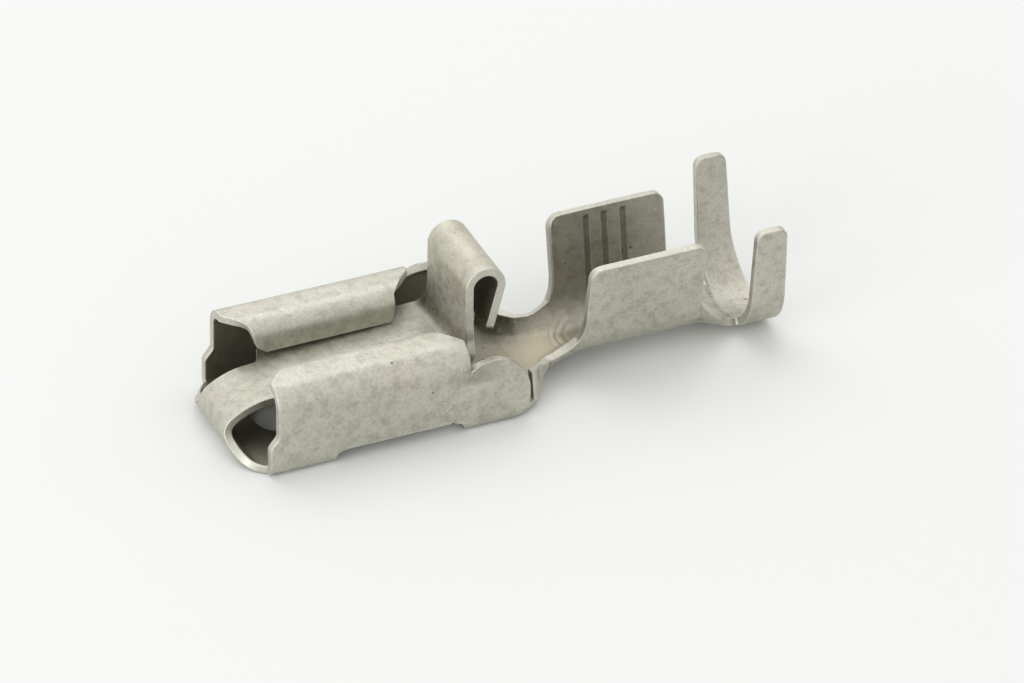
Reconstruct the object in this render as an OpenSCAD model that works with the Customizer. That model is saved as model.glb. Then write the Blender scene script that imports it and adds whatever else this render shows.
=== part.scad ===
// Female push-on terminal for a flat blade tab, with a folded spring strand,
// a curled release lever and two open crimp barrels.
// The whole terminal is one strip of sheet metal, blanked and folded.

/* [Sheet] */
// Thickness of the sheet
sheet = 0.35; // [0.25:0.05:0.45]
// Inside radius of the bends along the bottom corners
corner_r = 0.05; // [0.02:0.01:0.3]

/* [Tab that plugs in] */
// Width of the blade tab
tab_w = 6.3; // [4.8:0.1:8]
// Side play of the tab in the socket, each side
tab_play = 0.1; // [0.05:0.05:0.3]

/* [Socket] */
// Height of the socket over its rolled edges
socket_h = 3.86; // [3.4:0.02:4.6]
// Length of the rolled edges' part of the socket
socket_l = 8.5; // [7:0.1:12]
// Set-back of the upper part of the mouth
mouth_back = 0.36; // [0.1:0.02:0.8]
// Height where the mouth's set-back starts
mouth_z = 1.36; // [0.9:0.02:1.7]
// Clear gap between the two rolled edges
roll_gap = 2.72; // [2:0.02:3.4]
// Height of the rolled edges' tips over the underside
roll_tip_z = 2.42; // [2.3:0.02:2.8]
// Outside radius of the roll where the wall turns in
roll_wall_r = 0.85; // [0.5:0.05:1]
// Outside radius of the roll where the edge turns down
roll_tip_r = 0.8; // [0.5:0.05:0.9]
// Chamfer at the front of the rolled edges
roll_chamfer = 0.95; // [0.4:0.05:1.1]
// Chamfer at the back of the rolled edges
roll_back_chamfer = 1.1; // [0.4:0.05:1.3]
// Length of the low side walls behind the rolled edges
tail_l = 2.78; // [2:0.02:4]
// Length at the low side walls' end that is cut free of the floor
tail_free = 0.8; // [0.4:0.05:1.2]
// Height of the low side walls
tail_h = 3.22; // [2.6:0.02:3.3]
// Height of the long notch along the bottom of each side wall
notch_h = 0.54; // [0.3:0.02:0.8]
// Distance of that notch from the mouth
notch_x = 2.75; // [2:0.05:4]
// Distance of that notch's end from the back of the rolled edges
notch_end = 0.2; // [0.1:0.05:1]
// Width of the slot through the floor
slot_w = 2.6; // [1.5:0.1:3.2]
// Length of the slot through the floor
slot_l = 4.4; // [3.2:0.1:6]
// Distance of the slot from the mouth
slot_x = 0.72; // [0.5:0.02:1.5]

/* [Spring strand] */
// Width of the strand at the folded nose
strand_w = 2.56; // [1.8:0.02:2.66]
// Outside radius of the nose
nose_r = 0.88; // [0.8:0.02:0.95]
// Distance from the mouth to the centre of the nose
nose_x = 0.2; // [0.1:0.05:0.6]
// Outside radius of the run from the nose to the flat strand
brow_r = 3; // [2:0.1:4]
// Rise of the nose before the brow flattens it
nose_tilt = 35; // [25:1:45]
// Rise of the flat strand towards the lever
strand_tilt = 2.2; // [0:0.1:3]
// Height up to which the nose flares out to the floor
flare_h = 0.75; // [0.5:0.05:0.85]
// Distance from the mouth to the shoulder where the strand widens
shoulder_x = 1.46; // [1.2:0.02:2]
// Width of the strand behind the shoulder
plate_w = 4.9; // [4.2:0.1:5.6]

/* [Release lever] */
// Distance from the mouth to the lever's front face
lever_x = 8.92; // [8.7:0.02:10]
// Width of the lever
lever_w = 3.84; // [3:0.02:4.6]
// Height of the lever over the underside
lever_h = 6.36; // [5.4:0.02:7.4]
// Outside radius of the curl at the top of the lever
curl_r = 0.88; // [0.7:0.02:1.1]
// Length of the curl's straight tail
curl_tail = 1.85; // [1:0.05:2.2]
// Lean of the curl's tail from upright
curl_lean = 17; // [10:1:20]
// Inside radius at the foot of the lever
lever_foot_r = 0.4; // [0.3:0.05:0.6]

/* [Neck] */
// Length of the neck from the socket to the wire barrel
neck_l = 2.89; // [2.2:0.01:4]
// Width of the neck at its waist
neck_w = 2.7; // [2.2:0.05:3]
// Height of the neck's side edges over the underside at the waist
neck_h = 1.2; // [1:0.05:1.6]
// Height of the neck's ears right behind the socket
ear_h = 2.3; // [1.8:0.05:2.6]
// Outward lean of the ears
ear_lean = 38; // [25:1:45]
// Gap between the socket's side walls and the ears
slit = 0.1; // [0.08:0.02:0.3]

/* [Wire barrel] */
// Length of the wire barrel
wire_l = 5; // [3:0.1:7]
// Outside radius at the bottom of the wire barrel
wire_r = 1.78; // [1.4:0.02:2.1]
// Outward lean of the wire barrel's wings
wire_lean = 9; // [4:1:14]
// Height of the wire barrel's wings over the underside
wire_h = 5.2; // [4:0.1:5.6]
// Height of the wire barrel's underside over the socket's underside
wire_raise = 0.4; // [0.2:0.05:0.6]
// Number of grip grooves across the wire barrel
grooves = 3; // [0:1:5]
// Width of a grip groove
groove_w = 0.22; // [0.1:0.02:0.3]
// Depth of a grip groove
groove_d = 0.1; // [0.04:0.02:0.14]
// Distance between the grip grooves
groove_pitch = 0.8; // [0.5:0.05:1]
// Distance from the wire barrel's front to the first groove
groove_x = 1.6; // [0.8:0.05:2]

/* [Insulation barrel] */
// Distance between the two barrels
waist_l = 1.75; // [1.4:0.05:3]
// Height of the side edges between the barrels
waist_h = 0.8; // [0.6:0.05:1.1]
// Length of the insulation barrel
sleeve_l = 1.45; // [1:0.05:3]
// Outside radius at the bottom of the insulation barrel
sleeve_r = 2.76; // [2.3:0.02:3]
// Outward lean of the insulation barrel's wings
sleeve_lean = 6; // [2:1:12]
// Height of the insulation barrel's wings
sleeve_h = 5.72; // [4.6:0.02:6.2]

/* [Hidden] */

half = sheet / 2;
inner_w = tab_w + 2 * tab_play;
socket_w = inner_w + 2 * sheet;
corner_out = corner_r + sheet;
flat_w = socket_w - 2 * corner_out;
tail_end = socket_l + tail_l;
neck_x = tail_end - tail_free;
ear_x = tail_end + slit;
wire_x = tail_end + neck_l;
waist_x = wire_x + wire_l;
sleeve_x = waist_x + waist_l;
end_x = sleeve_x + sleeve_l + sheet / 2;
nose_front = -nose_x - nose_r;
middle_x = (nose_front + end_x) / 2;
neck_r = neck_w / 2 - sheet;
widen = wire_r - half - neck_r;
long_wall = max(wire_h, sleeve_h) * 0.8;
eps = 0.05;
far = 20;
turn_step = 11;
ring_n = 9;
roll_tip_y = roll_gap / 2 + sheet;
roll_rake = 0.66;

// Unit vector at an angle
function dir(a) = [cos(a), sin(a)];
// Unit vector a quarter turn to the left of an angle
function left(a) = [-sin(a), cos(a)];

// Middle line of a folded strip, as [point, heading] pairs.
// Each step is [straight length, turn to the left, radius of that turn].
function walk(p, h, steps, i = 0) =
    i == len(steps) ? [[p, h]] :
    let (
        s = steps[i],
        start = p + s[0] * dir(h),
        centre = start + sign(s[1]) * s[2] * left(h),
        n = ceil(abs(s[1]) / turn_step),
        spoke = start - centre,
        turned = [for (k = [0:1:n]) let (f = s[1] * k / max(1, n))
            [centre + [spoke[0] * cos(f) - spoke[1] * sin(f), spoke[0] * sin(f) + spoke[1] * cos(f)], h + f]],
        next = s[1] == 0 ? start : turned[n][0]
    )
    concat(
        s[0] > 0 ? [[p, h]] : [],
        s[1] == 0 ? [] : [for (k = [0:1:n - 1]) turned[k]],
        walk(next, h + s[1], steps, i + 1));

// Outline of a strip between two offsets from its middle line
function band(path, inner, outer) = concat(
    [for (q = path) q[0] + outer * left(q[1])],
    [for (i = [len(path) - 1:-1:0]) path[i][0] + inner * left(path[i][1])]);

// Outline with rounded corners: each corner is [x, y, radius]
function rounded(corners) = [for (i = [0:len(corners) - 1])
    let (
        n = len(corners),
        c = corners[i],
        p = [c[0], c[1]],
        a = [corners[(i + n - 1) % n][0], corners[(i + n - 1) % n][1]] - p,
        b = [corners[(i + 1) % n][0], corners[(i + 1) % n][1]] - p,
        ua = a / norm(a),
        ub = b / norm(b),
        open = acos(max(-1, min(1, ua * ub))),
        turn = 180 - open,
        r = c[2]
    )
    each r == 0 || turn < 1 ? [p] :
        let (
            cut = r * tan(turn / 2),
            mid = p + (ua + ub) / norm(ua + ub) * r / cos(turn / 2),
            s0 = p + ua * cut - mid,
            way = sign(ua[1] * ub[0] - ua[0] * ub[1]),
            n2 = ceil(turn / turn_step)
        )
        [for (k = [0:n2]) let (f = way * turn * k / n2)
            mid + [s0[0] * cos(f) - s0[1] * sin(f), s0[0] * sin(f) + s0[1] * cos(f)]]];

// Solid with a side-view outline, right across the part
module across(w = far) rotate([90, 0, 0]) translate([0, 0, -w / 2]) linear_extrude(w) children();
// Solid with an end-view outline, from x0 to x1
module along(x0, x1) translate([x0, 0, 0]) rotate([90, 0, 90]) linear_extrude(x1 - x0) children();

// End view of the socket: rolled edge, wall, floor, wall, rolled edge
module socket_section() {
    tip_s = socket_h - roll_tip_r - roll_tip_z;
    top_s = socket_w / 2 - roll_wall_r - roll_gap / 2 - roll_tip_r;
    wall_s = socket_h - roll_wall_r - corner_out;
    polygon(band(walk([-roll_gap / 2 - half, roll_tip_z], 90, [
        [tip_s, 90, roll_tip_r - half],
        [top_s, 90, roll_wall_r - half],
        [wall_s, 90, corner_out - half],
        [flat_w, 90, corner_out - half],
        [wall_s, 90, roll_wall_r - half],
        [top_s, 90, roll_tip_r - half],
        [tip_s, 0, 0]]), -half, half));
}

// Side view of the walls: stepped mouth, notch, low tail with a rounded end
module wall_outline() {
    notch_x1 = socket_l - notch_end;
    polygon(rounded([
        [0, -eps, 0],
        [0, mouth_z, 0.15],
        [mouth_back, mouth_z + mouth_back, 0.15],
        [mouth_back, socket_h + 1, 0],
        [socket_l, socket_h + 1, 0],
        [socket_l, tail_h, 0.12],
        [tail_end - 0.2, tail_h, 1.3],
        [tail_end, mouth_z, 0.3],
        [tail_end - 0.1, sheet, 0.35],
        [neck_x, -eps, 0],
        [notch_x1, -eps, 0],
        [notch_x1, notch_h, 0.3],
        [notch_x + 0.5, notch_h, 0.25],
        [notch_x, -eps, 0]]));
}

// Plan of the floor between the walls
module floor_plan() {
    translate([0, -flat_w / 2 - eps]) square([neck_x + eps, flat_w + 2 * eps]);
}

// Plan of the rolled edges' tops, with chamfered ends, on the +Y side
module roll_plan() {
    front = mouth_back + roll_chamfer;
    back = socket_l - roll_back_chamfer;
    polygon([
        [mouth_back, socket_w], [mouth_back, roll_tip_y + roll_chamfer], [front, roll_tip_y], [front, 0],
        [back, 0], [back, roll_tip_y], [socket_l, roll_tip_y + roll_back_chamfer], [socket_l, socket_w]]);
}

// Side view of the rolled edges' tips, with a raked front
module roll_side() {
    front = mouth_back + roll_chamfer;
    back = socket_l - roll_back_chamfer;
    knee_z = roll_tip_z + 0.45;
    polygon(rounded([
        [front, socket_h + 1, 0], [front, socket_h - sheet, 0],
        [front + roll_rake / 4, knee_z, 0.2], [front + roll_rake, roll_tip_z - eps, 0.2],
        [back, roll_tip_z - eps, 0.25], [back, socket_h + 1, 0]]));
}

// Floor, side walls and rolled edges
module socket() {
    intersection() {
        along(0, tail_end) socket_section();
        union() {
            linear_extrude(corner_out + sheet) floor_plan();
            for (side = [-1, 1])
                intersection() {
                    across() wall_outline();
                    translate([0, side * (flat_w / 2 + far / 4), 0])
                        cube([far * 2, far / 2, far], center = true);
                }
            for (side = [0, 1])
                mirror([0, side, 0])
                intersection() {
                    translate([0, 0, mouth_z]) linear_extrude(far) roll_plan();
                    union() {
                        across() roll_side();
                        translate([0, roll_tip_y, 0]) cube(far);
                    }
                }
        }
    }
}

// Side view of the spring strand and lever, as one folded strip
function strip_path() =
    let (
        foot = lever_foot_r + half,
        lift = 90 - strand_tilt,
        nose_turn = 180 - nose_tilt,
        brow_turn = nose_tilt - strand_tilt,
        nose_c = [-nose_x, nose_r],
        brow_c = nose_c + (nose_r - brow_r) * left(nose_tilt),
        plate0 = brow_c + (brow_r - half) * left(strand_tilt),
        plate_s = (lever_x + half - foot - plate0[0]) / cos(strand_tilt),
        foot_z = plate0[1] + plate_s * sin(strand_tilt) + foot,
        post_s = lever_h - curl_r - foot_z
    )
    walk([1, half], 180, [
        [1 + nose_x, -nose_turn, nose_r - half],
        [0, -brow_turn, brow_r - half],
        [plate_s, lift, foot],
        [post_s, -180 - curl_lean + strand_tilt, curl_r - half],
        [curl_tail, 0, 0]]);

// Plan of the strand and lever: flared root, narrow nose, shoulder, plate and lever
module strip_plan() {
    nose = strand_w / 2;
    plate = plate_w / 2;
    lever = lever_w / 2;
    lever_front = lever_x - lever_foot_r;
    for (side = [0, 1])
        mirror([0, side, 0])
        polygon(rounded([
            [1, 0, 0], [1, nose, 0.3], [shoulder_x - 0.1, nose, 0.15], [shoulder_x + 0.45, plate, 0.3],
            [lever_front, plate, 0.3], [lever_front + 0.25, lever, 0.2],
            [lever_x + 2 * curl_r + 1, lever, 0], [lever_x + 2 * curl_r + 1, 0, 0]]));
}

// Plan of the root, where the strand leaves the floor
module root_plan() {
    root = flat_w / 2;
    foot = strand_w / 2 + (root - strand_w / 2) * 0.4;
    polygon([
        [1, -strand_w / 2], [0.01, -strand_w / 2], [0.01, -root], [-0.1, -root], [nose_front - eps, -foot],
        [nose_front - eps, foot], [-0.1, root], [0.01, root], [0.01, strand_w / 2], [1, strand_w / 2]]);
}

// Front view of the nose: as wide as the floor at the bottom, flaring in to the strand's width
module nose_front_view() {
    root = flat_w / 2;
    nose = strand_w / 2;
    flare = [for (k = [0:8]) let (u = k / 8) [nose + (root - nose) * pow(1 - u, 3), flare_h * u]];
    for (side = [0, 1])
        mirror([side, 0, 0])
        polygon(concat([[0, far], [0, -eps], [root, -eps]], flare, [[nose, far]]));
}

// Spring strand and release lever
module spring() {
    intersection() {
        across() polygon(band(strip_path(), -half, half));
        union() {
            translate([0, 0, -eps]) linear_extrude(far) strip_plan();
            intersection() {
                translate([0, 0, -eps]) linear_extrude(far) root_plan();
                along(-far, 1) nose_front_view();
            }
        }
    }
}

// Half of a trough's middle line from the bottom up, as [point, heading] pairs
function trough_half(flat, r, lean, z0, wall) =
    let (c = [flat, z0 + half + r], rise = 90 - lean)
    concat(
        [for (k = [0:ring_n]) let (a = rise * k / ring_n) [c + r * dir(a - 90), a]],
        [[c + r * dir(-lean) + wall * dir(rise), rise]]);

// Whole middle line of a trough, from its left edge to its right edge
function trough(t) =
    let (right = trough_half(t[0], t[1], t[2], t[3], t[4]), n = len(right))
    concat(
        [for (i = [n - 1:-1:0]) [[-right[i][0][0], right[i][0][1]], -right[i][1]]],
        right);

// Two triangles that fill a four-sided patch
function two(a, b, c, d) = [[a, b, c], [a, c, d]];

// Shape of the trough at x: [half flat, radius, outward lean, underside, length of the straight wall]
wire_trough = [eps, wire_r - half, wire_lean, wire_raise, long_wall];
sleeve_trough = [eps, sleeve_r - half, sleeve_lean, 0, long_wall];
stations = [
    [neck_x, [inner_w * 0.3, 3, 86, 0, 2]],
    [neck_x + tail_free * 0.25, [inner_w * 0.28, 2, 76, 0, 2]],
    [neck_x + tail_free * 0.5, [inner_w * 0.25, 1.2, 65, 0, 2]],
    [tail_end - slit * 1.6, [inner_w * 0.215, 1, ear_lean + 12, 0, 2.5]],
    [ear_x, [inner_w * 0.172, 1, ear_lean, 0, 3]],
    [tail_end + neck_l * 0.12, [inner_w * 0.117, 1, ear_lean - 1, wire_raise * 0.1, 2.8]],
    [tail_end + neck_l * 0.2, [inner_w * 0.074, neck_r, ear_lean - 4, wire_raise * 0.25, 2.6]],
    [tail_end + neck_l * 0.31, [inner_w * 0.045, neck_r, ear_lean - 11, wire_raise * 0.45, 2.2]],
    [tail_end + neck_l * 0.45, [eps * 3, neck_r, wire_lean + 7, wire_raise * 0.65, 2]],
    [tail_end + neck_l * 0.56, [eps * 2, neck_r, wire_lean, wire_raise * 0.8, 2]],
    [tail_end + neck_l * 0.68, [eps, neck_r, wire_lean - 3, wire_raise * 0.9, 2]],
    [tail_end + neck_l * 0.84, [eps, neck_r + widen * 0.35, wire_lean - 2, wire_raise, 2.6]],
    [wire_x, [eps, neck_r + widen * 0.85, wire_lean - 1, wire_raise, long_wall]],
    [wire_x + slit * 3, wire_trough],
    [waist_x + slit, wire_trough],
    [waist_x + waist_l * 0.3, wire_trough * 0.85 + sleeve_trough * 0.15],
    [waist_x + waist_l * 0.5, wire_trough * 0.5 + sleeve_trough * 0.5],
    [waist_x + waist_l * 0.7, wire_trough * 0.15 + sleeve_trough * 0.85],
    [sleeve_x - slit, sleeve_trough],
    [end_x + 1, sleeve_trough]];

// Lofted trough from the neck to the end of the insulation barrel
module trough_loft() {
    outlines = [for (s = stations) [for (p = band(trough(s[1]), -half, half)) [s[0], p[0], p[1]]]];
    m = len(outlines[0]);
    last = (len(outlines) - 1) * m;
    polyhedron(
        points = [for (o = outlines) each o],
        faces = concat(
            [for (j = [0:m / 2 - 2]) each two(j + 1, j, m - 1 - j, m - 2 - j)],
            [for (j = [0:m / 2 - 2]) each two(last + j, last + j + 1, last + m - 2 - j, last + m - 1 - j)],
            [for (i = [0:m:last - m], j = [0:m - 1]) let (k = (j + 1) % m)
                each two(i + j, i + k, i + m + k, i + m + j)]),
        convexity = 8);
}

// Plan that keeps the neck clear of the socket's low side walls
module neck_plan() {
    w = inner_w / 2 - slit;
    translate([neck_x - eps, -w]) square([ear_x - neck_x + 2 * eps, 2 * w]);
    translate([ear_x, -far / 2]) square([far, far]);
}

// Side view of the neck and both barrels
module barrels_outline() {
    polygon(rounded([
        [neck_x - eps, -1, 0],
        [neck_x - eps, ear_h, 0],
        [ear_x + eps, ear_h, 0.05],
        [tail_end + neck_l * 0.19, neck_h + 0.1, 0.5],
        [tail_end + neck_l * 0.5, neck_h - 0.1, 1.2],
        [wire_x - 0.45, neck_h + 0.3, 0.6],
        [wire_x, neck_h + 1.3, 0.8],
        [wire_x, wire_h, 0.42],
        [waist_x, wire_h, 0.35],
        [waist_x, waist_h + 0.6, 0.3],
        [waist_x + waist_l * 0.45, waist_h, 0.5],
        [sleeve_x + slit, waist_h - 0.1, 0.2],
        [sleeve_x, sleeve_h, 0.35],
        [sleeve_x + sleeve_l, sleeve_h, 0.3],
        [end_x, 1.2, 0.6],
        [end_x, -1, 0]]));
}

// Grip grooves across the inside of the wire barrel
module grip_grooves() {
    shape = trough(wire_trough);
    for (i = [0:1:grooves - 1])
        let (x = wire_x + groove_x + i * groove_pitch)
        along(x - groove_w / 2, x + groove_w / 2) polygon(band(shape, half - groove_d, half + eps));
}

// Neck, wire barrel and insulation barrel
module barrels() {
    difference() {
        intersection() {
            trough_loft();
            across() barrels_outline();
            translate([0, 0, -1]) linear_extrude(far) neck_plan();
        }
        if (grooves > 0) grip_grooves();
    }
}

// Slot through the socket's floor, under the spring strand
module floor_slot() {
    translate([slot_x + slot_w / 2, 0, -1]) cylinder(h = sheet + 1.2, d = slot_w, $fn = 48);
    translate([slot_x + slot_l - slot_w / 2, 0, -1]) cylinder(h = sheet + 1.2, d = slot_w, $fn = 48);
    translate([slot_x + slot_w / 2, -slot_w / 2, -1]) cube([slot_l - slot_w, slot_w, sheet + 1.2]);
}

// The whole terminal, one piece of tinned sheet
module terminal() {
    color([0.76, 0.75, 0.70])
    translate([-middle_x, 0, 0]) {
        difference() {
            union() {
                socket();
                spring();
            }
            floor_slot();
        }
        barrels();
    }
}

terminal();
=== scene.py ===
"""Looks of the female spade terminal: tinned sheet, plain pale floor, soft light and the camera."""

import math

import bpy
import numpy as np
from mathutils import Matrix, Vector


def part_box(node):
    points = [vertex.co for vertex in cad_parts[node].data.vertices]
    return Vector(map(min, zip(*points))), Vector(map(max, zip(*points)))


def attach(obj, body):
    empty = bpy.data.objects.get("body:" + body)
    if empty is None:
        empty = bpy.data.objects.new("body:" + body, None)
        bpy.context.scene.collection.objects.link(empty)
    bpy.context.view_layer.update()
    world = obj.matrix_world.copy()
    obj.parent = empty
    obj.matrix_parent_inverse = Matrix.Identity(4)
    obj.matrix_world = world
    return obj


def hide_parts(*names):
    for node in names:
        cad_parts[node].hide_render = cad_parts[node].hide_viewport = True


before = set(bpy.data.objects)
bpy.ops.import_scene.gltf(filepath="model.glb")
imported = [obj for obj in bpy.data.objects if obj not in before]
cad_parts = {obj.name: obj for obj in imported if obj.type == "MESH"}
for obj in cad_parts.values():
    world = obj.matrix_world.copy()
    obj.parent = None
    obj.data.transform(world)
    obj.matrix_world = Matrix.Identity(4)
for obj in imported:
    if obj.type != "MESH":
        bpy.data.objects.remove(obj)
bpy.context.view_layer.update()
MM = 0.001
NOSE_REACH = 1.08                               # how far the folded front stands out before the mouth's plane
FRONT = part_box("terminal")[0].x / MM + NOSE_REACH     # the mouth's plane, in mm of the shared frame


class Wire:
    """A node socket that can be added, subtracted and multiplied from either side, each sign making one Math
    node."""

    def __init__(self, tree, socket):
        self.tree, self.socket = tree, socket

    def sign(self, operation, other, turned=False):
        pair = (other, self) if turned else (self, other)
        return node(self.tree, "ShaderNodeMath", {"operation": operation}, {0: pair[0], 1: pair[1]})

    def __add__(self, other): return self.sign("ADD", other)
    def __radd__(self, other): return self.sign("ADD", other)
    def __sub__(self, other): return self.sign("SUBTRACT", other)
    def __rsub__(self, other): return self.sign("SUBTRACT", other, True)
    def __mul__(self, other): return self.sign("MULTIPLY", other)
    def __rmul__(self, other): return self.sign("MULTIPLY", other, True)


def node(tree, kind, settings=None, inputs=None, out=0):
    """One shader node: its settings first, then its sockets' values or links. Gives the chosen output as a
    Wire."""
    made = tree.nodes.new(kind)
    for name, value in (settings or {}).items():
        setattr(made, name, value)
    for name, value in (inputs or {}).items():
        socket = made.inputs[name]
        if isinstance(value, Wire):
            tree.links.new(value.socket, socket)
        elif socket.type == "RGBA":
            socket.default_value = (*value, 1.0)
        else:
            socket.default_value = value
    return Wire(tree, made.outputs[out] if made.outputs else None)


def new_material(name, dress):
    """A material whose shader is made by dress, a function of the node tree that gives the shader as a
    Wire."""
    material = bpy.data.materials.new(name)
    material.use_nodes = True
    tree = material.node_tree
    tree.nodes.clear()
    node(tree, "ShaderNodeOutputMaterial", {}, {"Surface": dress(tree)})
    return material


def band(wire, low, high):
    """0 below low, 1 above high and smooth between."""
    return node(wire.tree, "ShaderNodeMapRange", {"interpolation_type": "SMOOTHSTEP"},
                {"Value": wire, "From Min": low, "From Max": high})


def blend_colour(tree, mask, under, over):
    """over laid on under where mask is 1."""
    return node(tree, "ShaderNodeMix", {"data_type": "RGBA"}, {0: mask, 6: under, 7: over}, out=2)


def tin_plate(tree):
    """Dull tin on copper alloy: cloudy stains of several tints, fine grit, a few pits, and burnished specks
    that gather in rubbed patches on bends and edges, with painted shade on the inner side and in hollow bends
    and a painted highlight along the cut edges. The sheet's own attributes say where: ridge (how sharply it
    bends out), edge (cut edges), inner (painted shade of the inner side and around the lever's foot) and
    brass (where the alloy shows through)."""
    place = node(tree, "ShaderNodeTexCoord", out=3)
    ridge, edge, inner, brass = (node(tree, "ShaderNodeAttribute", {"attribute_name": name}, out=2)
                                 for name in ("ridge", "edge", "inner", "brass"))

    def cloud(size_mm, detail, shift=(0.0, 0.0, 0.0)):
        spot = node(tree, "ShaderNodeMapping", {},
                    {"Vector": place, "Location": shift, "Scale": (1 / (size_mm * MM),) * 3})
        return node(tree, "ShaderNodeTexNoise", {"noise_dimensions": "3D"},
                    {"Vector": spot, "Scale": 1.0, "Detail": detail, "Roughness": 0.6})

    stain = band(cloud(2.2, 3.0), 0.36, 0.66)
    rosy = band(cloud(1.5, 2.5, (7.0, 3.0, 1.0)), 0.5, 0.66)
    green = band(cloud(1.2, 2.5, (2.0, 9.0, 4.0)), 0.5, 0.68)
    mottle = cloud(0.42, 3.0, (6.0, 1.0, 2.0))
    grit = cloud(0.11, 2.5, (1.0, 5.0, 8.0))
    rubbed = band(cloud(0.9, 1.0, (5.0, 8.0, 2.0)), 0.46, 0.66)
    worn = band(ridge, 0.35, 1.6)
    crease_shade = band(ridge, -0.5, -3.0)
    fleck = band(cloud(0.12, 1.5, (4.0, 2.0, 6.0)),
                 0.73 - rubbed * 0.06 - worn * rubbed * 0.16 - edge * 0.08, 0.77)
    speck = node(tree, "ShaderNodeTexVoronoi", {"feature": "F1"},
                 {"Vector": place, "Scale": 1.0 / (0.75 * MM), "Randomness": 1.0})
    pit = (1.0 - band(speck, 0.05, 0.10)) * band(cloud(0.9, 0.0, (3.0, 3.0, 3.0)), 0.52, 0.6)

    colour = blend_colour(tree, stain, (0.485, 0.48, 0.41), (0.535, 0.525, 0.455))
    for mask, tint in (
            (rosy * 0.40, (0.55, 0.485, 0.43)),
            (green * 0.35, (0.42, 0.435, 0.35)),
            (band(mottle, 0.42, 0.66) * 0.36, (0.62, 0.61, 0.54)),
            (band(mottle, 0.50, 0.32) * 0.32, (0.26, 0.25, 0.20)),
            (band(grit, 0.50, 0.66) * 0.19, (0.68, 0.67, 0.60)),
            (band(grit, 0.50, 0.34) * 0.23, (0.29, 0.275, 0.21)),
            # painted shade: the inner side, darkest in the socket, and a patch around the lever's foot
            (inner * 0.8, (0.17, 0.155, 0.11)),
            # painted shade in hollow bends and in the grip grooves
            (crease_shade * 0.5, (0.15, 0.14, 0.10)),
            (brass * 0.62, (0.47, 0.41, 0.29)),
            # painted highlight: the cut edges made lighter
            (edge * 0.3, (0.70, 0.69, 0.62)),
            (worn * 0.12, (0.70, 0.69, 0.61)),
            (fleck * 0.7, (0.74, 0.72, 0.66)),
            (pit * 0.7, (0.08, 0.075, 0.05))):
        colour = blend_colour(tree, mask, colour, tint)
    bump = node(tree, "ShaderNodeBump", {}, {
        "Strength": 0.6, "Distance": 0.02 * MM, "Height": grit * 0.7 + mottle * 0.9 - pit * 0.8})
    return node(tree, "ShaderNodeBsdfPrincipled", {}, {
        "Base Color": colour, "Roughness": 0.45 + mottle * 0.18 - fleck * 0.12,
        "Metallic": 1.0, "Normal": bump})


def pale_paper(tree):
    """The floor's plain near-white paper."""
    return node(tree, "ShaderNodeBsdfPrincipled", {},
                {"Base Color": (0.68, 0.69, 0.683), "Roughness": 0.7, "Specular IOR Level": 0.2})


# The terminal's sheet, worked out in mm: x from the mouth backwards, y across, z up from the underside.
SHEET = 0.35
HALF = SHEET / 2
RIM = 0.05                                      # rounding of the sheared edges
CUT_LAYERS = 8                                  # points across a cut edge, from the inner to the outer face


def table(knots, spread=0.0):
    """Straight lines between the knots (place, value), averaged over the spread on both sides to round the
    corners."""
    places, values = np.array(knots, float).T
    offsets = np.linspace(-1, 1, 13)
    weights = (1 - offsets ** 2) / np.sum(1 - offsets ** 2)
    return lambda x: np.interp(np.asarray(x, float)[..., None] + offsets * spread, places, values) @ weights


def steps(*stretches):
    """Places along a line: each stretch (from, to, count) is divided evenly, and shared ends are kept
    once."""
    return np.unique(np.round(np.concatenate([np.linspace(a, b, n + 1) for a, b, n in stretches]), 6))


def fold(start, heading, bends):
    """Side line of a folded strip. Each bend is (straight length before it, turn in degrees, radius).
    A point at arc length s lies on a straight or an arc: from the stretch's start it goes the chord
    d * sin(turn / 2) / (turn / 2) in the mean heading. Gives that function and the stretches' ends."""
    lengths, curls = [], []
    for straight, turn, radius in bends:
        if straight:
            lengths.append(straight), curls.append(0.0)
        if turn:
            lengths.append(radius * math.radians(abs(turn))), curls.append(math.copysign(1 / radius, turn))
    lengths, curls = np.array(lengths), np.array(curls)
    ends = np.concatenate([[0], np.cumsum(lengths)])
    heads = math.radians(heading) + np.concatenate([[0], np.cumsum(lengths * curls)])
    middles = (heads[1:] + heads[:-1]) / 2
    chords = lengths * np.sinc(lengths * curls / (2 * np.pi))
    us = start[0] + np.concatenate([[0], np.cumsum(chords * np.cos(middles))])
    vs = start[1] + np.concatenate([[0], np.cumsum(chords * np.sin(middles))])

    def at(s):
        i = np.clip(np.searchsorted(ends, s, "right") - 1, 0, len(lengths) - 1)
        gone = s - ends[i]
        turned = curls[i] * gone
        chord, mean = gone * np.sinc(turned / (2 * np.pi)), heads[i] + turned / 2
        return us[i] + chord * np.cos(mean), vs[i] + chord * np.sin(mean)

    return at, ends


patches = []


def patch(x, y, z, drop=None, turned=False):
    """One grid of points, rows by columns, made of four-sided cells. drop marks the cells that are left out,
    and turned swaps the sides. Patches whose edge points coincide are sewn together later."""
    points = np.stack(np.broadcast_arrays(x, y, z), -1)
    rows, columns = points.shape[:2]
    number = np.arange(rows * columns).reshape(rows, columns)
    cells = np.stack([number[:-1, :-1], number[:-1, 1:], number[1:, 1:], number[1:, :-1]], -1)
    if turned:
        cells = cells[..., ::-1]
    keep = np.ones(cells.shape[:2], bool) if drop is None else ~drop
    patches.append((points.reshape(-1, 3), cells[keep]))


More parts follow.
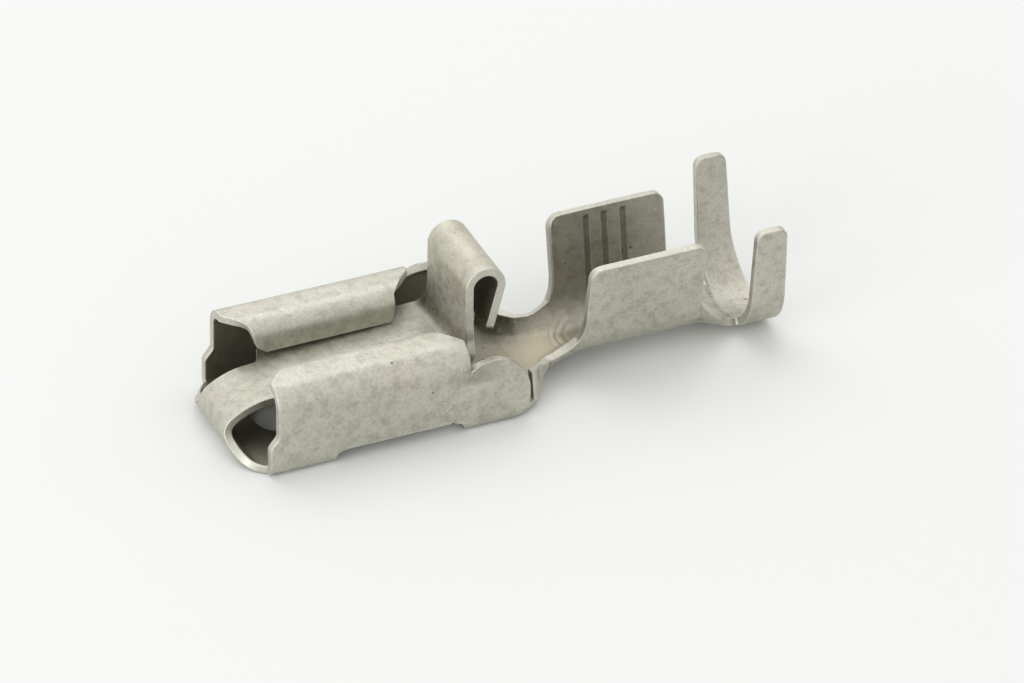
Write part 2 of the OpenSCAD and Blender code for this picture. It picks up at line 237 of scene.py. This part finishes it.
# Socket: floor, walls and rolled edges. The section line runs from the middle of the floor outwards.
WALL_Y = 3.6 - HALF
CORNER = 0.225                                  # radius of the bend from floor to wall
FLOOR_Y = WALL_Y - CORNER
ROLL_X = 8.5                                    # end of the rolled edges
SLOT_Y, SLOT_FRONT, SLOT_BACK = 1.3, 0.72, 5.12     # round-ended slot through the floor
WINDOW_Y = 2.6                                  # how far in the notch at the wall's foot cuts the floor
side_line, side_ends = fold((0, HALF), 0, [
    (FLOOR_Y, 90, CORNER), (2.55, 90, 0.675), (0.59, 90, 0.625), (0.58, 0, 0)])
BEND_S, BROW_S, TOP_S, ROLL_S, DROP_S, TIP_S = side_ends[2:]


def section(s):
    """Socket section at arc length s from the floor's middle: y and z, from the fold's side line. From the
    brow to the tip a roll is lifted by its opening times the sine of the share gone: the near one stands a
    little open."""
    y, z = side_line(np.abs(s))
    gone = np.clip((np.abs(s) - BROW_S) / (TIP_S - BROW_S), 0, 1)
    return np.sign(s) * y, z + np.where(s < 0, 0.20, -0.03) * np.sin(gone * np.pi / 2)


def s_at_height(z):
    """Arc length at which the outer wall or the bend above it reaches height z."""
    s = np.linspace(BEND_S, TOP_S, 800)
    return float(np.interp(z, side_line(s)[1], s))


WINDOW_S = s_at_height(0.54)
TAIL_TOP = {-1: 3.08, 1: 3.40}                  # height of the low walls' tops, near and far
TAIL_S = {side: s_at_height(z) for side, z in TAIL_TOP.items()}
half_rows = steps((0, SLOT_Y, 9), (SLOT_Y, WINDOW_Y, 6), (WINDOW_Y, 2.9, 4), (2.9, FLOOR_Y, 2),
                  (FLOOR_Y, BEND_S, 6), (BEND_S, WINDOW_S, 4), (WINDOW_S, BROW_S, 20), (BROW_S, TOP_S, 12),
                  (TOP_S, ROLL_S, 5), (ROLL_S, DROP_S, 12), (DROP_S, TIP_S, 5), (TAIL_S[-1], TAIL_S[-1], 0),
                  (TAIL_S[1], TAIL_S[1], 0))
rows = np.concatenate([-half_rows[:0:-1], half_rows])
out_s = np.abs(rows)
mouth = table([(0, 0), (s_at_height(1.34), 0), (s_at_height(1.78), 0.36), (TOP_S + 0.12, 0.36),
               (ROLL_S + 0.45, 1.26), (ROLL_S + 0.75, 1.34), (TIP_S - 0.25, 1.5), (TIP_S, 1.9)], 0.10)(out_s)
slot_curve = SLOT_Y - np.sqrt(np.clip(SLOT_Y ** 2 - rows ** 2, 0, None))
window_front = table([(SLOT_Y, 2.02), (WINDOW_Y, 3.02), (2.68, 2.82), (2.85, 2.75), (FLOOR_Y, 2.72),
                      (BEND_S, 2.84), (BEND_S + 0.07, 2.95), (WINDOW_S, 3.28), (9, 3.28)])(out_s)
window_back = table([(SLOT_Y, 3.82), (WINDOW_Y, 8.0), (2.68, 8.2), (2.85, 8.28), (FLOOR_Y + 0.1, 8.28),
                     (BEND_S, 8.16), (BEND_S + 0.07, 8.02), (WINDOW_S, 7.68), (9, 7.68)])(out_s)
roll_back = table([(0, ROLL_X), (TOP_S - 0.05, ROLL_X), (ROLL_S + 0.45, 7.42), (TIP_S - 0.2, 7.34),
                   (TIP_S, 7.2)], 0.06)(out_s)
open_front = np.where(out_s <= SLOT_Y, SLOT_FRONT + slot_curve, window_front)
open_back = np.minimum(np.where(out_s <= SLOT_Y, SLOT_BACK - slot_curve, window_back), roll_back - 0.06)
counts = (26, 34, 20)
marks = [mouth, open_front, open_back, roll_back]
columns = np.concatenate([marks[k][:, None] + (marks[k + 1] - marks[k])[:, None] * np.arange(n) / n
                          for k, n in enumerate(counts)] + [roll_back[:, None]], 1)
between_marks = np.repeat([0, 1, 2], counts) == 1
cell_s = np.maximum(out_s[:-1], out_s[1:])
open_rows = (cell_s <= SLOT_Y + 1e-6) | (cell_s > WINDOW_Y + 1e-6) & (cell_s <= WINDOW_S + 1e-6)
y, z = section(rows[:, None])
patch(columns, y, z, drop=open_rows[:, None] & between_marks[None, :])

# Low walls behind the rolls, with their rounded ends, and the floor between them.
NECK_X = 10.6
tail_front = table([(0, ROLL_X), (2.9, ROLL_X), (3.08, 8.8), (3.16, 9.1), (3.2, 9.5)])
tail_back = table([(0, 10.86), (0.45, 10.86), (0.62, 10.99), (0.9, 11.06), (1.6, 11.06), (2.0, 10.97),
                   (2.4, 10.77), (2.75, 10.48), (3.0, 10.17), (3.13, 9.94), (3.2, 9.7)], 0.05)
for side in (-1, 1):
    some = rows[(side * rows >= 0) & (side * rows <= TAIL_S[side] + 1e-6)]
    high = side_line(np.abs(some))[1] * (3.2 / TAIL_TOP[side])
    start, end = tail_front(high), np.where(np.abs(some) <= BEND_S + 1e-6, NECK_X, tail_back(high))
    columns = start[:, None] + (end - start)[:, None] * np.linspace(0, 1, 27)
    y, z = section(some[:, None])
    patch(columns, y, z)

# Strand and lever: the floor's front folds up and back, runs between the rolls and stands up as the lever.
side_view, strand_ends = fold((0, HALF), 180, [
    (0.2, -145, 0.705), (0, -32.8, 2.825), (7.618, 87.8, 0.575), (2.646, -194.8, 0.705), (1.85, 0, 0)])
foot_s = strand_ends[4]
half_width = table([(0, FLOOR_Y), (0.07, FLOOR_Y), (0.2, 3.06), (0.42, 2.84), (0.68, 2.5), (0.94, 2.0),
                    (1.16, 1.56), (1.32, 1.36), (1.55, 1.28), (4.02, 1.28), (4.16, 1.42), (4.42, 2.08),
                    (4.6, 2.36), (4.9, 2.45), (foot_s, 2.45), (foot_s + 0.7, 2.3), (foot_s + 1.2, 2.02),
                    (foot_s + 1.9, 1.92), (30, 1.92)], 0.06)
lean_over = table([(0, 0), (foot_s + 0.8, 0), (foot_s + 1.6, -0.08), (30, -0.08)])
along = steps(*zip(strand_ends[1:-1], strand_ends[2:], (26, 18, 66, 14, 26, 34, 18)), (0, strand_ends[1], 2))
across = rows[out_s <= FLOOR_Y + 1e-6] / FLOOR_Y
x, z = side_view(along)
y = across[:, None] * half_width(along) + lean_over(along)
patch(x[None, :], y, z[None, :], turned=True)

# Neck and barrels: a trough whose shape changes along x. Slits free the neck's ears from the low walls.
EAR_X, END_X = 11.39, 22.54
WIRE_FRONT, WIRE_BACK, WIRE_TOP = 13.92, 19.3, 5.2      # wings of the wire barrel
SLEEVE_FRONT, SLEEVE_TOP = 21.0, 5.72                   # wings of the insulation barrel
GROOVES = (15.8, 16.58, 17.4)                           # grip grooves across the wire barrel
GROOVE_DEPTH, GROOVE_HALF, GROOVE_SLANT, GROOVE_TOP = 0.10, 0.14, 0.05, 4.95
GROOVE_ZONE = 0.18                                      # finer columns this far on both sides of a groove


def trough(shape, x, s=None, z=None):
    """Trough section at x: a flat bottom, a bend of the radius up to the lean and a straight wall.
    Gives y and z at arc length s from the middle, or the arc length where the wall reaches height z."""
    flat, radius, under = shape["flat"](x), shape["radius"](x), shape["under"](x) + HALF
    full = np.radians(90 - shape["lean"](x))
    if s is None:
        bent = np.arccos(np.clip(1 - (z - under) / radius, -1, 1))
        straight = (z - under - radius * (1 - np.cos(full))) / np.sin(full)
        return flat + np.where(bent < full, bent * radius, full * radius + straight)
    turn = np.clip((np.abs(s) - flat) / radius, 0, full)
    rest = np.clip(np.abs(s) - flat - full * radius, 0, None)
    y = np.minimum(np.abs(s), flat) + radius * np.sin(turn) + rest * np.cos(full)
    return np.sign(s) * y, under + radius * (1 - np.cos(turn)) + rest * np.sin(full)


strap = {name: table(knots, spread) for name, spread, knots in (
    ("flat", 0.12, [(11.1, 2.68), (EAR_X + 0.12, 2.68), (11.62, 2.50), (11.96, 1.80), (12.16, 1.30),
                    (12.6, 0.74), (13.2, 0.48), (13.84, 0.25), (14.5, 0.05), (30, 0.05)]),
    ("radius", 0.2, [(11.68, 0.25), (11.96, 0.5), (12.16, 0.75), (12.6, 0.95), (13.2, 1.1), (13.84, 1.3),
                     (14.5, 1.605), (WIRE_BACK, 1.605), (20.9, 2.585), (30, 2.585)]),
    ("lean", 0.2, [(11.7, -11), (11.96, -12), (12.16, -8), (12.6, -3), (13.2, 2), (13.84, 6), (14.2, 9),
                   (19.2, 9), (20.9, 6), (30, 6)]),
    ("under", 0.2, [(11.85, 0), (12.6, 0.16), (13.2, 0.30), (13.9, 0.4), (19.4, 0.4), (20.8, 0.0),
                    (30, 0.0)]))}
edge_height = table([(11.3, 1.62), (11.48, 1.56), (11.7, 1.44), (11.9, 1.36), (12.16, 1.25), (12.6, 1.16),
                     (13.1, 1.16), (13.35, 1.24), (13.6, 1.38), (WIRE_FRONT, 1.62), (WIRE_BACK, 2.05),
                     (19.5, 1.82), (19.88, 1.42), (20.2, 1.06), (20.48, 0.74), (20.8, 0.56),
                     (SLEEVE_FRONT, 0.5), (30, 0.5)], 0.05)

# The floor narrows from the low walls to the ears and keeps the bend at its sides.
corner_shape = {"flat": table([(NECK_X, FLOOR_Y), (11.0, 2.98), (11.22, 2.82), (EAR_X, 2.68)]),
                "radius": table([(NECK_X, CORNER), (EAR_X, 0.25)]),
                "lean": table([(NECK_X, 0), (EAR_X, -11)]),
                "under": table([(0, 0), (30, 0)])}
along = steps((NECK_X, EAR_X, 14))
joined = trough(corner_shape, along, z=HALF + CORNER)
low_rows = rows[out_s <= BEND_S + 1e-6]
y, z = trough(corner_shape, along[None, :], s=low_rows[:, None] / BEND_S * joined[None, :])
patch(along[None, :], y, z)

wire_places = steps((WIRE_FRONT, GROOVES[0] - GROOVE_ZONE, 14),
                    *((groove - GROOVE_ZONE, groove + GROOVE_ZONE, 12) for groove in GROOVES),
                    *((a + GROOVE_ZONE, b - GROOVE_ZONE, 3) for a, b in zip(GROOVES, GROOVES[1:])),
                    (GROOVES[-1] + GROOVE_ZONE, WIRE_BACK, 16))
sleeve_places = steps((SLEEVE_FRONT, END_X, 16))
along = np.unique(np.concatenate([
    steps((EAR_X, 13.3, 24), (13.3, wire_places[0], 14)), wire_places,
    steps((wire_places[-1], sleeve_places[0], 18)), sleeve_places]))
free_edge = trough(strap, along, z=edge_height(along))
widest = BEND_S * free_edge[0] / joined[-1]
ear_rows = np.linspace(BEND_S, widest, 12)[1:]
strap_rows = np.concatenate([-ear_rows[::-1], low_rows, ear_rows])
y, z = trough(strap, along[None, :], s=strap_rows[:, None] / widest * free_edge[None, :])
patch(along[None, :], y, z)


def wing(places, top, front, back, side):
    """Barrel wing above the trough's edge. Rows rise from that edge to the top. front and back say how far
    the wing's two ends stand in from the first and last place at a share of the height."""
    share = steps((0, 0.85, 20), (0.85, 1, 12))[:, None]
    fade = min(0.9, (places[-1] - places[0]) * 0.45)
    x = (places + front(share) * np.clip(1 - (places - places[0]) / fade, 0, 1)
         + back(share) * np.clip(1 - (places[-1] - places) / fade, 0, 1))
    low_z = edge_height(x)
    s = trough(strap, x, z=low_z + (top - low_z) * share)
    s = np.where(share == 0, free_edge[np.isin(along, places)], s)
    y, z = trough(strap, x, s=s)
    patch(x, side * y, z, turned=side < 0)


def corner(share, radius, height):
    """How far a rounded top corner stands in at a share of the height: radius * (1 - sqrt(1 - t^2))."""
    t = np.clip(1 + (share - 1) * height / radius, 0, 1)
    return radius * (1 - np.sqrt(1 - t ** 2))


wire_front = table([(0, 0), (0.06, 0.12), (0.14, 0.22), (0.25, 0.28), (1, 0.28)])
wire_back = table([(0, 0), (0.03, 0.06), (0.1, 0.1), (1, 0.1)])
sleeve_front = table([(0, 0), (0.04, -0.02), (0.15, -0.04), (1, -0.02)])
sleeve_back = table([(0, 0), (0.1, 0.02), (0.3, 0.1), (0.6, 0.17), (1, 0.25)])
for side in (-1, 1):
    wing(wire_places, WIRE_TOP, lambda share: wire_front(share) + corner(share, 0.5, 3.4),
         lambda share: -wire_back(share) - corner(share, 0.48, 3.2), side)
    wing(sleeve_places, SLEEVE_TOP, lambda share: sleeve_front(share) + corner(share, 0.38, 5.0),
         lambda share: -sleeve_back(share) - corner(share, 0.36, 5.0), side)


def value_noise(points, size, seed):
    """Smooth noise from -1 to 1: random values on a lattice of that size, blended by s = 3t^2 - 2t^3 along
    each axis."""
    random = np.random.default_rng(seed).uniform(-1, 1, (64, 64, 64))
    cell = points / size + 17.3
    low = np.floor(cell).astype(int)
    t = cell - low
    t = t * t * (3 - 2 * t)
    total = 0
    for dx in (0, 1):
        for dy in (0, 1):
            for dz in (0, 1):
                weight = (np.abs(1 - dx - t[:, 0]) * np.abs(1 - dy - t[:, 1]) * np.abs(1 - dz - t[:, 2]))
                at = (low + (dx, dy, dz)) % 64
                total = total + weight * random[at[:, 0], at[:, 1], at[:, 2]]
    return total


def unit(v):
    """v made unit long."""
    return v / np.maximum(np.linalg.norm(v, axis=-1, keepdims=True), 1e-12)


def sewn():
    """All patches as one surface: points that agree to half a micrometre become one, and collapsed cells and
    unused points go."""
    points = np.concatenate([p for p, _ in patches])
    starts = np.cumsum([0] + [len(p) for p, _ in patches])
    cells = np.concatenate([c + start for (_, c), start in zip(patches, starts)])
    _, first, merged = np.unique(np.round(points * 2000).astype(np.int64), axis=0, return_index=True,
                                 return_inverse=True)
    points, cells = points[first], merged.reshape(-1)[cells]
    cells = cells[(cells != np.roll(cells, 1, 1)).all(1)]
    used, cells = np.unique(cells, return_inverse=True)
    return points[used], cells.reshape(-1, 4)


def normals(points, cells):
    """Unit normal at each point: along the sum of the cross products of the diagonals of the cells around it."""
    cross = np.cross(points[cells[:, 2]] - points[cells[:, 0]], points[cells[:, 3]] - points[cells[:, 1]])
    total = np.zeros((len(points), 3))
    for k in range(4):
        np.add.at(total, cells[:, k], cross)
    return unit(total)


def uneven(points, cells):
    """The surface as handling and stamping left it: moved inwards along its normals by 0.024 mm plus broad
    and fine noise of 0.016 and 0.008 mm, and on the neck's floor by ring marks: 0.012 * cos(2 pi d / 0.26) *
    exp(-(d / 0.36)^2), where d is the distance from a circle of radius 0.85."""
    normal = normals(points, cells)
    points = points + normal * (0.024 + 0.016 * value_noise(points, 2.3, 3)
                                + 0.008 * value_noise(points, 0.8, 5))[:, None]
    x, y, z = points.T
    away = np.hypot(x - 14.75, y * 0.8 + 0.1) - 0.85
    rings = np.cos(away / 0.26 * 2 * np.pi) * np.exp(-(away / 0.36) ** 2) * (x < 14.75)
    return points + normal * (0.012 * rings * np.exp(-(y / 1.1) ** 2) * (z < 1.2))[:, None]


def bend_sharpness(points, edges, normal):
    """How sharply the surface bends out along its normal: 4 times the height of each point over the mean of
    its neighbours, over the square of their mean distance."""
    near, far, links = np.zeros((len(points), 3)), np.zeros(len(points)), np.zeros(len(points))
    lengths = np.linalg.norm(points[edges[:, 1]] - points[edges[:, 0]], axis=1)
    for a, b in ((0, 1), (1, 0)):
        np.add.at(near, edges[:, a], points[edges[:, b]])
        np.add.at(far, edges[:, a], lengths)
        np.add.at(links, edges[:, a], 1)
    return ((points - near / links[:, None]) * normal).sum(1) * 4 / (far / links) ** 2


def shade_marks(points, curve, depth, rim):
    """The attributes for the material, each for the inner face, the outer face and the cut edges in turn.
    Painted shade lies on the inner face, darkest in the socket, and around the lever's foot, and the alloy
    shows on the neck's floor and faintly on top of the lever; the patches are bell curves."""
    x, y, z = points.T
    count, cuts = len(points), len(rim) * (CUT_LAYERS - 2)
    on_rim = np.isin(np.arange(count), rim)
    # painted shade of the inner face: full in the socket, fading along the neck and wire barrel to none at the
    # sleeve; the cut faces get 0.2
    shade = np.interp(x, [0, NECK_X, 11.6, 12.4, 14.2, WIRE_BACK, 20.9], [1, 1, 0.85, 0.75, 0.5, 0.5, 0])
    foot_x, foot_z = side_view(foot_s)
    # painted shade around the lever's foot, a bell curve
    foot_shade = 0.55 * np.exp(-((x - foot_x - 0.3) ** 2 + (z - foot_z - 0.4) ** 2) / 0.9 ** 2) * (z > 2.2)
    bare = np.exp(-((x - 13.0) / 1.4) ** 2 - ((y + 0.3) / 1.2) ** 2)
    handled = 0.4 * np.clip((z - 4.4) / 0.9, 0, 1) * (x < 12)
    return {"ridge": np.concatenate([curve - 40 * depth, -curve, np.zeros(cuts)]),
            "edge": np.concatenate([on_rim, on_rim, np.ones(cuts)]),
            "inner": np.concatenate([shade, foot_shade, np.full(cuts, 0.2)]),
            "brass": np.concatenate([bare, handled, np.zeros(cuts)])}


def thick_sheet(name):
    """The sewn surface thickened: both faces lie half the sheet away along the normal, and every free edge
    gets a cut face whose corners are quarter circles: RIM * (sin a - 1) outwards and RIM * (cos a - 1) along
    the normal. Grip grooves thin the inner face alone, with slanted sides and a flat bottom."""
    points, cells = sewn()
    points = uneven(points, cells)
    normal = normals(points, cells)
    count = len(points)

    edges = np.stack([cells, np.roll(cells, -1, 1)], -1).reshape(-1, 2)
    free = edges[~np.isin(edges[:, 0] * count + edges[:, 1], edges[:, 1] * count + edges[:, 0])]
    rim = np.unique(free)
    out = np.zeros((count, 3))
    aside = unit(np.cross(unit(points[free[:, 1]] - points[free[:, 0]]), normal[free].mean(1)))
    np.add.at(out, free[:, 0], aside)
    np.add.at(out, free[:, 1], aside)
    out = unit(out[rim] - normal[rim] * (out[rim] * normal[rim]).sum(1, keepdims=True))

    depth = sum(GROOVE_DEPTH * np.clip((GROOVE_HALF - np.abs(points[:, 0] - groove)) / GROOVE_SLANT, 0, 1)
                for groove in GROOVES)
    depth = depth * np.clip((GROOVE_TOP - points[:, 2]) / 0.15, 0, 1)
    upper = HALF - depth
    turn = np.linspace(0, np.pi / 2, CUT_LAYERS // 2)
    reach = RIM * (np.sin(np.concatenate([turn, turn[::-1]])) - 1)
    lift = RIM * (np.cos(np.concatenate([turn, turn[::-1]])) - 1) * np.repeat([1, -1], CUT_LAYERS // 2)
    tilt = np.concatenate([turn, np.pi - turn[::-1]])
    face = np.where(np.arange(CUT_LAYERS) < CUT_LAYERS // 2, upper[rim][:, None], -HALF)
    ring = (points[rim][:, None] + out[:, None] * reach[None, :, None]
            + normal[rim][:, None] * (face + lift[None, :])[..., None])
    ring_normal = (out[:, None] * np.sin(tilt)[None, :, None]
                   + normal[rim][:, None] * np.cos(tilt)[None, :, None])
    inner_face, outer_face = points + normal * upper[:, None], points - normal * HALF
    inner_face[rim], outer_face[rim] = ring[:, 0], ring[:, -1]
    verts = np.concatenate([inner_face, outer_face, ring[:, 1:-1].reshape(-1, 3)])
    vert_normals = np.concatenate([normals(inner_face, cells), -normals(outer_face, cells),
                                   ring_normal[:, 1:-1].reshape(-1, 3)])
    order = np.full(count, -1)
    order[rim] = np.arange(len(rim))
    between = 2 * count + np.arange(len(rim) * (CUT_LAYERS - 2)).reshape(len(rim), -1)
    number = np.concatenate([rim[:, None], between, rim[:, None] + count], 1)
    a, b = number[order[free[:, 0]]], number[order[free[:, 1]]]
    strips = np.stack([b[:, :-1], a[:, :-1], a[:, 1:], b[:, 1:]], -1).reshape(-1, 4)
    faces = np.concatenate([cells, cells[:, ::-1] + count, strips])

    mesh = bpy.data.meshes.new(name)
    mesh.vertices.add(len(verts))
    placed = verts * MM + np.array([FRONT * MM, 0, 0])
    mesh.vertices.foreach_set("co", placed.astype(np.float32).ravel())
    mesh.loops.add(faces.size)
    mesh.loops.foreach_set("vertex_index", faces.astype(np.int32).ravel())
    mesh.polygons.add(len(faces))
    mesh.polygons.foreach_set("loop_start", np.arange(0, faces.size, 4, dtype=np.int32))
    mesh.polygons.foreach_set("use_smooth", np.ones(len(faces), bool))
    marks = shade_marks(points, bend_sharpness(points, edges, normal), depth, rim)
    for label, values in marks.items():
        mesh.attributes.new(label, "FLOAT", "POINT").data.foreach_set("value", values.astype(np.float32))
    mesh.update(calc_edges=True)
    mesh.validate()
    mesh.normals_split_custom_set_from_vertices(vert_normals.astype(np.float32))
    made = bpy.data.objects.new(name, mesh)
    bpy.context.scene.collection.objects.link(made)
    return made


sheet = thick_sheet("folded_sheet")
sheet.data.materials.append(new_material("dull tin plate", tin_plate))
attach(sheet, "root")
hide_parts("terminal")

# Floor: one broad sheet just under the terminal.
bpy.ops.mesh.primitive_plane_add(size=1.6, location=(0, 0, 0))
floor = bpy.context.object
floor.name = "floor"
floor.data.materials.append(new_material("pale paper", pale_paper))

# Light: an even pale room, a soft lamp above the far side and another one low in front of the mouth.
room = bpy.data.worlds.new("pale room")
bpy.context.scene.world = room
room.use_nodes = True
sky = room.node_tree.nodes["Background"].inputs
sky["Color"].default_value = (1.0, 1.0, 0.99, 1.0)
sky["Strength"].default_value = 1.04


def soft_lamp(name, place, wide, high, power):
    """A rectangular area lamp at place, facing the origin, in metres and watts."""
    data = bpy.data.lights.new(name, "AREA")
    data.shape, data.size, data.size_y, data.energy = "RECTANGLE", wide, high, power
    lamp = bpy.data.objects.new(name, data)
    bpy.context.scene.collection.objects.link(lamp)
    lamp.location = place
    lamp.rotation_mode = "QUATERNION"
    lamp.rotation_quaternion = (-Vector(place)).to_track_quat("-Z", "Y")


soft_lamp("overhead", (0.02, 0.15, 0.27), 0.30, 0.24, 0.27)
soft_lamp("side", (-0.34, -0.14, 0.13), 0.24, 0.20, 0.60)

# Camera: it stands in front of the mouth's corner and looks down on the terminal.
YAW, RISE, ROLL = math.radians(24.122), math.radians(34.141), math.radians(0.729)
AIM = Vector((FRONT * MM + 0.0118138, 0.0, 0.0011530))
DISTANCE = 0.39258
away = Vector((math.sin(YAW) * math.cos(RISE), math.cos(YAW) * math.cos(RISE), -math.sin(RISE)))
level = Vector((math.cos(YAW), -math.sin(YAW), 0.0))
upward = level.cross(away)
right = math.cos(ROLL) * level + math.sin(ROLL) * upward
top = math.cos(ROLL) * upward - math.sin(ROLL) * level
camera = bpy.data.objects.new("camera", bpy.data.cameras.new("camera"))
bpy.context.scene.collection.objects.link(camera)
camera.data.lens, camera.data.sensor_width = 348.83, 36.0
camera.data.clip_start, camera.data.clip_end = 0.01, 10.0
facing = Matrix((right, top, -away)).transposed().to_4x4()
camera.matrix_world = Matrix.Translation(AIM - away * DISTANCE) @ facing
bpy.context.scene.camera = camera
bpy.context.scene.view_settings.view_transform = "Standard"
